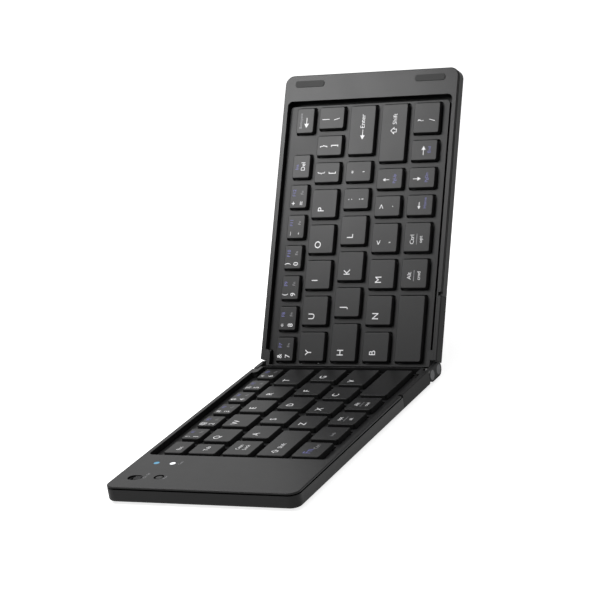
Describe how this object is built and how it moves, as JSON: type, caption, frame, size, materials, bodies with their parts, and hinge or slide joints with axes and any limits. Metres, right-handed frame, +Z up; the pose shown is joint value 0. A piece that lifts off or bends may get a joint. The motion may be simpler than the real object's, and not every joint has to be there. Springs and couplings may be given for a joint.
{
  "type": "folding keyboard",
  "caption": "Pocket keyboard in two hinged halves, shown half open: one half lies flat and the other stands raised on a double-pin hinge.",
  "frame": {"origin": "centre of the half-open keyboard's footprint, on the surface that the feet stand on", "axes": "+Z up, +X from the flat half across the hinge to the raised half, +Y from the space bars towards the number rows"},
  "size_m": [0.2264, 0.091, 0.1289],
  "materials": {
    "case": "fine matte moulded",
    "deck": "fine matte moulded",
    "key": "satin, soft-touch",
    "arm": "matte painted die casting",
    "steel": "dull plated",
    "rubber": "matte",
    "dome": "milky silicone",
    "film": "printed film",
    "backing": "rolled sheet",
    "board": "solder mask",
    "control": "matte moulded",
    "lens": "clear moulded",
    "cell": "foil pouch"
  },
  "bodies": {
    "left_half": {"left_top_frame": "case", "left_bottom_cover": "case", "left_key_plate": "deck", "left_dome_sheet": "dome", "left_membrane": "film", "left_backing_plate": "backing", "left_hinge_arms": "arm", "left_screws": "steel", "left_feet": "rubber", "control_board": "board", "indicator_lenses": "lens", "charging_port": "steel", "battery": "cell"},
    "hinge_link": {"hinge_yoke": "arm", "hinge_pins": "steel", "flex_cable": "film"},
    "right_half": {"right_top_frame": "case", "right_bottom_cover": "case", "right_key_plate": "deck", "right_dome_sheet": "dome", "right_membrane": "film", "right_backing_plate": "backing", "right_hinge_arms": "arm", "right_screws": "steel", "right_feet": "rubber", "rubber_pads": "rubber"},
    "left_space_bar_body": {"left_space_bar": "key"},
    "left_alt_keys_body": {"left_alt_keys": "key"},
    "fn_key_body": {"fn_key": "key"},
    "left_shift_key_body": {"left_shift_key": "key"},
    "caps_lock_key_body": {"caps_lock_key": "key"},
    "tab_key_body": {"tab_key": "key"},
    "escape_key_body": {"escape_key": "key"},
    "keys_1_2_3_body": {"keys_1_2_3": "key"},
    "keys_4_5_6_body": {"keys_4_5_6": "key"},
    "keys_q_w_e_body": {"keys_q_w_e": "key"},
    "keys_r_t_body": {"keys_r_t": "key"},
    "keys_a_s_d_body": {"keys_a_s_d": "key"},
    "keys_f_g_body": {"keys_f_g": "key"},
    "keys_z_x_body": {"keys_z_x": "key"},
    "keys_c_v_body": {"keys_c_v": "key"},
    "right_space_bar_body": {"right_space_bar": "key"},
    "right_alt_ctrl_keys_body": {"right_alt_ctrl_keys": "key"},
    "arrow_keys_body": {"arrow_keys": "key"},
    "right_shift_key_body": {"right_shift_key": "key"},
    "enter_key_body": {"enter_key": "key"},
    "backspace_key_body": {"backspace_key": "key"},
    "delete_key_body": {"delete_key": "key"},
    "keys_7_8_9_body": {"keys_7_8_9": "key"},
    "keys_0_minus_equals_body": {"keys_0_minus_equals": "key"},
    "keys_y_u_i_body": {"keys_y_u_i": "key"},
    "keys_o_p_body": {"keys_o_p": "key"},
    "bracket_keys_body": {"bracket_keys": "key"},
    "keys_h_j_body": {"keys_h_j": "key"},
    "keys_k_l_body": {"keys_k_l": "key"},
    "keys_semicolon_quote_body": {"keys_semicolon_quote": "key"},
    "keys_b_n_m_body": {"keys_b_n_m": "key"},
    "keys_comma_period_slash_body": {"keys_comma_period_slash": "key"},
    "switch_body": {"switch_slider": "control"},
    "button_body": {"pairing_button": "control"}
  },
  "joints": [
    {"name": "link_fold", "type": "hinge", "parent": "left_half", "child": "hinge_link", "pos_m": [0.02985, 0, 0.0045], "axis": [0, -1, 0], "range_deg": [0, 90]},
    {"name": "fold", "type": "hinge", "parent": "hinge_link", "child": "right_half", "pos_m": [0.03725, 0, 0.0045], "axis": [0, -1, 0], "range_deg": [-59.14, 30.86]},
    {"name": "left_space_bar_press", "type": "slide", "parent": "left_half", "child": "left_space_bar_body", "axis": [0, 0, 1], "range_m": [-0.0016, 0], "stiffness_N_per_m": 150, "springref_m": 0.002, "deforming": ["left_dome_sheet"]},
    {"name": "left_alt_keys_press", "type": "slide", "parent": "left_half", "child": "left_alt_keys_body", "axis": [0, 0, 1], "range_m": [-0.0016, 0], "stiffness_N_per_m": 150, "springref_m": 0.002, "deforming": ["left_dome_sheet"]},
    {"name": "fn_key_press", "type": "slide", "parent": "left_half", "child": "fn_key_body", "axis": [0, 0, 1], "range_m": [-0.0016, 0], "stiffness_N_per_m": 150, "springref_m": 0.002, "deforming": ["left_dome_sheet"]},
    {"name": "left_shift_key_press", "type": "slide", "parent": "left_half", "child": "left_shift_key_body", "axis": [0, 0, 1], "range_m": [-0.0016, 0], "stiffness_N_per_m": 150, "springref_m": 0.002, "deforming": ["left_dome_sheet"]},
    {"name": "caps_lock_key_press", "type": "slide", "parent": "left_half", "child": "caps_lock_key_body", "axis": [0, 0, 1], "range_m": [-0.0016, 0], "stiffness_N_per_m": 150, "springref_m": 0.002, "deforming": ["left_dome_sheet"]},
    {"name": "tab_key_press", "type": "slide", "parent": "left_half", "child": "tab_key_body", "axis": [0, 0, 1], "range_m": [-0.0016, 0], "stiffness_N_per_m": 150, "springref_m": 0.002, "deforming": ["left_dome_sheet"]},
    {"name": "escape_key_press", "type": "slide", "parent": "left_half", "child": "escape_key_body", "axis": [0, 0, 1], "range_m": [-0.0016, 0], "stiffness_N_per_m": 150, "springref_m": 0.002, "deforming": ["left_dome_sheet"]},
    {"name": "keys_1_2_3_press", "type": "slide", "parent": "left_half", "child": "keys_1_2_3_body", "axis": [0, 0, 1], "range_m": [-0.0016, 0], "stiffness_N_per_m": 150, "springref_m": 0.002, "deforming": ["left_dome_sheet"]},
    {"name": "keys_4_5_6_press", "type": "slide", "parent": "left_half", "child": "keys_4_5_6_body", "axis": [0, 0, 1], "range_m": [-0.0016, 0], "stiffness_N_per_m": 150, "springref_m": 0.002, "deforming": ["left_dome_sheet"]},
    {"name": "keys_q_w_e_press", "type": "slide", "parent": "left_half", "child": "keys_q_w_e_body", "axis": [0, 0, 1], "range_m": [-0.0016, 0], "stiffness_N_per_m": 150, "springref_m": 0.002, "deforming": ["left_dome_sheet"]},
    {"name": "keys_r_t_press", "type": "slide", "parent": "left_half", "child": "keys_r_t_body", "axis": [0, 0, 1], "range_m": [-0.0016, 0], "stiffness_N_per_m": 150, "springref_m": 0.002, "deforming": ["left_dome_sheet"]},
    {"name": "keys_a_s_d_press", "type": "slide", "parent": "left_half", "child": "keys_a_s_d_body", "axis": [0, 0, 1], "range_m": [-0.0016, 0], "stiffness_N_per_m": 150, "springref_m": 0.002, "deforming": ["left_dome_sheet"]},
    {"name": "keys_f_g_press", "type": "slide", "parent": "left_half", "child": "keys_f_g_body", "axis": [0, 0, 1], "range_m": [-0.0016, 0], "stiffness_N_per_m": 150, "springref_m": 0.002, "deforming": ["left_dome_sheet"]},
    {"name": "keys_z_x_press", "type": "slide", "parent": "left_half", "child": "keys_z_x_body", "axis": [0, 0, 1], "range_m": [-0.0016, 0], "stiffness_N_per_m": 150, "springref_m": 0.002, "deforming": ["left_dome_sheet"]},
    {"name": "keys_c_v_press", "type": "slide", "parent": "left_half", "child": "keys_c_v_body", "axis": [0, 0, 1], "range_m": [-0.0016, 0], "stiffness_N_per_m": 150, "springref_m": 0.002, "deforming": ["left_dome_sheet"]},
    {"name": "right_space_bar_press", "type": "slide", "parent": "right_half", "child": "right_space_bar_body", "axis": [-0.8584, 0, 0.5129], "range_m": [-0.0016, 0], "stiffness_N_per_m": 150, "springref_m": 0.002, "deforming": ["right_dome_sheet"]},
    {"name": "right_alt_ctrl_keys_press", "type": "slide", "parent": "right_half", "child": "right_alt_ctrl_keys_body", "axis": [-0.8584, 0, 0.5129], "range_m": [-0.0016, 0], "stiffness_N_per_m": 150, "springref_m": 0.002, "deforming": ["right_dome_sheet"]},
    {"name": "arrow_keys_press", "type": "slide", "parent": "right_half", "child": "arrow_keys_body", "axis": [-0.8584, 0, 0.5129], "range_m": [-0.0016, 0], "stiffness_N_per_m": 150, "springref_m": 0.002, "deforming": ["right_dome_sheet"]},
    {"name": "right_shift_key_press", "type": "slide", "parent": "right_half", "child": "right_shift_key_body", "axis": [-0.8584, 0, 0.5129], "range_m": [-0.0016, 0], "stiffness_N_per_m": 150, "springref_m": 0.002, "deforming": ["right_dome_sheet"]},
    {"name": "enter_key_press", "type": "slide", "parent": "right_half", "child": "enter_key_body", "axis": [-0.8584, 0, 0.5129], "range_m": [-0.0016, 0], "stiffness_N_per_m": 150, "springref_m": 0.002, "deforming": ["right_dome_sheet"]},
    {"name": "backspace_key_press", "type": "slide", "parent": "right_half", "child": "backspace_key_body", "axis": [-0.8584, 0, 0.5129], "range_m": [-0.0016, 0], "stiffness_N_per_m": 150, "springref_m": 0.002, "deforming": ["right_dome_sheet"]},
    {"name": "delete_key_press", "type": "slide", "parent": "right_half", "child": "delete_key_body", "axis": [-0.8584, 0, 0.5129], "range_m": [-0.0016, 0], "stiffness_N_per_m": 150, "springref_m": 0.002, "deforming": ["right_dome_sheet"]},
    {"name": "keys_7_8_9_press", "type": "slide", "parent": "right_half", "child": "keys_7_8_9_body", "axis": [-0.8584, 0, 0.5129], "range_m": [-0.0016, 0], "stiffness_N_per_m": 150, "springref_m": 0.002, "deforming": ["right_dome_sheet"]},
    {"name": "keys_0_minus_equals_press", "type": "slide", "parent": "right_half", "child": "keys_0_minus_equals_body", "axis": [-0.8584, 0, 0.5129], "range_m": [-0.0016, 0], "stiffness_N_per_m": 150, "springref_m": 0.002, "deforming": ["right_dome_sheet"]},
    {"name": "keys_y_u_i_press", "type": "slide", "parent": "right_half", "child": "keys_y_u_i_body", "axis": [-0.8584, 0, 0.5129], "range_m": [-0.0016, 0], "stiffness_N_per_m": 150, "springref_m": 0.002, "deforming": ["right_dome_sheet"]},
    {"name": "keys_o_p_press", "type": "slide", "parent": "right_half", "child": "keys_o_p_body", "axis": [-0.8584, 0, 0.5129], "range_m": [-0.0016, 0], "stiffness_N_per_m": 150, "springref_m": 0.002, "deforming": ["right_dome_sheet"]},
    {"name": "bracket_keys_press", "type": "slide", "parent": "right_half", "child": "bracket_keys_body", "axis": [-0.8584, 0, 0.5129], "range_m": [-0.0016, 0], "stiffness_N_per_m": 150, "springref_m": 0.002, "deforming": ["right_dome_sheet"]},
    {"name": "keys_h_j_press", "type": "slide", "parent": "right_half", "child": "keys_h_j_body", "axis": [-0.8584, 0, 0.5129], "range_m": [-0.0016, 0], "stiffness_N_per_m": 150, "springref_m": 0.002, "deforming": ["right_dome_sheet"]},
    {"name": "keys_k_l_press", "type": "slide", "parent": "right_half", "child": "keys_k_l_body", "axis": [-0.8584, 0, 0.5129], "range_m": [-0.0016, 0], "stiffness_N_per_m": 150, "springref_m": 0.002, "deforming": ["right_dome_sheet"]},
    {"name": "keys_semicolon_quote_press", "type": "slide", "parent": "right_half", "child": "keys_semicolon_quote_body", "axis": [-0.8584, 0, 0.5129], "range_m": [-0.0016, 0], "stiffness_N_per_m": 150, "springref_m": 0.002, "deforming": ["right_dome_sheet"]},
    {"name": "keys_b_n_m_press", "type": "slide", "parent": "right_half", "child": "keys_b_n_m_body", "axis": [-0.8584, 0, 0.5129], "range_m": [-0.0016, 0], "stiffness_N_per_m": 150, "springref_m": 0.002, "deforming": ["right_dome_sheet"]},
    {"name": "keys_comma_period_slash_press", "type": "slide", "parent": "right_half", "child": "keys_comma_period_slash_body", "axis": [-0.8584, 0, 0.5129], "range_m": [-0.0016, 0], "stiffness_N_per_m": 150, "springref_m": 0.002, "deforming": ["right_dome_sheet"]},
    {"name": "power_switch_slide", "type": "slide", "parent": "left_half", "child": "switch_body", "axis": [0, 1, 0], "range_m": [0, 0.0024]},
    {"name": "pairing_button_press", "type": "slide", "parent": "left_half", "child": "button_body", "axis": [0, 0, 1], "range_m": [-0.0004, 0], "stiffness_N_per_m": 300, "springref_m": 0.001}
  ]
}
